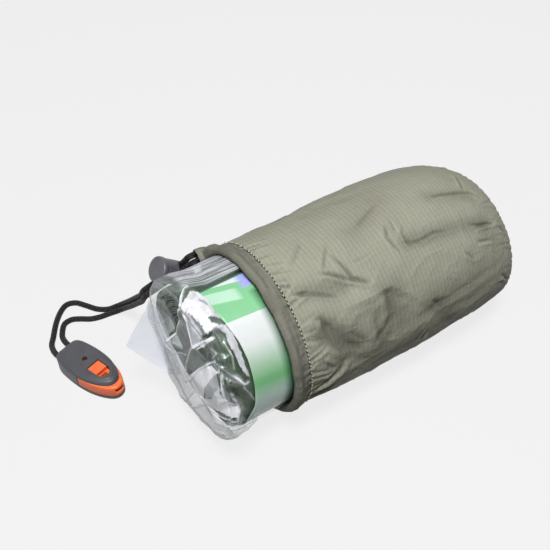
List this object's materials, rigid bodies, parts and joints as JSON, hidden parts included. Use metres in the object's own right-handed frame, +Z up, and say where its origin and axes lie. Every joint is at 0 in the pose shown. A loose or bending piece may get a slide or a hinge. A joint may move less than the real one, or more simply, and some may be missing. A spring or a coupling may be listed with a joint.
{
  "type": "emergency bivvy bag",
  "caption": "Rolled foil-type emergency bivvy in a clear film bag, half slid out of a ripstop stuff sack with a drawcord, spring cord lock and flat signal whistle.",
  "frame": {"origin": "on the floor, below the middle of the packed bag without its cord, lock and whistle", "axes": "+X along the sack from its mouth to its sewn base, +Y towards the side where the drawcord leaves the hem, +Z up"},
  "size_m": [0.2388, 0.1692, 0.0962],
  "materials": {
    "ripstop": "coated grey-olive ripstop nylon, semi-matte",
    "black_braid": "black braided cord",
    "clear_film": "crumpled clear polythene film",
    "printed_sheet": "glossy sheet with plain bands of green, mint and white",
    "bivvy_cloth": "thin dark green coated sheet",
    "black_plastic": "satin moulded plastic",
    "orange_plastic": "satin moulded plastic",
    "spring_steel": "plain wire"
  },
  "bodies": {
    "sack": {"sack_tube": "ripstop", "sack_base_panel": "ripstop", "base_seam_allowance": "ripstop", "side_seam_allowance": "ripstop", "hem_channel": "ripstop", "drawcord_in_hem": "black_braid", "drawcord_strand_a": "black_braid", "drawcord_strand_b": "black_braid", "whistle_bottom_shell": "black_plastic", "whistle_chamber": "orange_plastic", "whistle_top_shell": "black_plastic"},
    "bivvy_pack": {"bivvy_roll": "bivvy_cloth", "insert_sheet": "printed_sheet", "clear_bag": "clear_film"},
    "cord_lock": {"lock_barrel": "black_plastic", "lock_spring": "spring_steel"},
    "lock_button": {"lock_plunger": "black_plastic"}
  },
  "joints": [
    {"name": "pack_slide", "type": "slide", "parent": "sack", "child": "bivvy_pack", "axis": [-1, 0, 0], "range_m": [0, 0.15]},
    {"name": "lock_slide", "type": "slide", "parent": "sack", "child": "cord_lock", "axis": [-0.5129, 0.4963, -0.7005], "range_m": [0, 0.018]},
    {"name": "button_press", "type": "slide", "parent": "cord_lock", "child": "lock_button", "axis": [-0.7998, 0.02, 0.5999], "range_m": [0, 0.003], "stiffness_N_per_m": 1000, "springref_m": -0.001, "deforming": ["lock_spring"]}
  ]
}
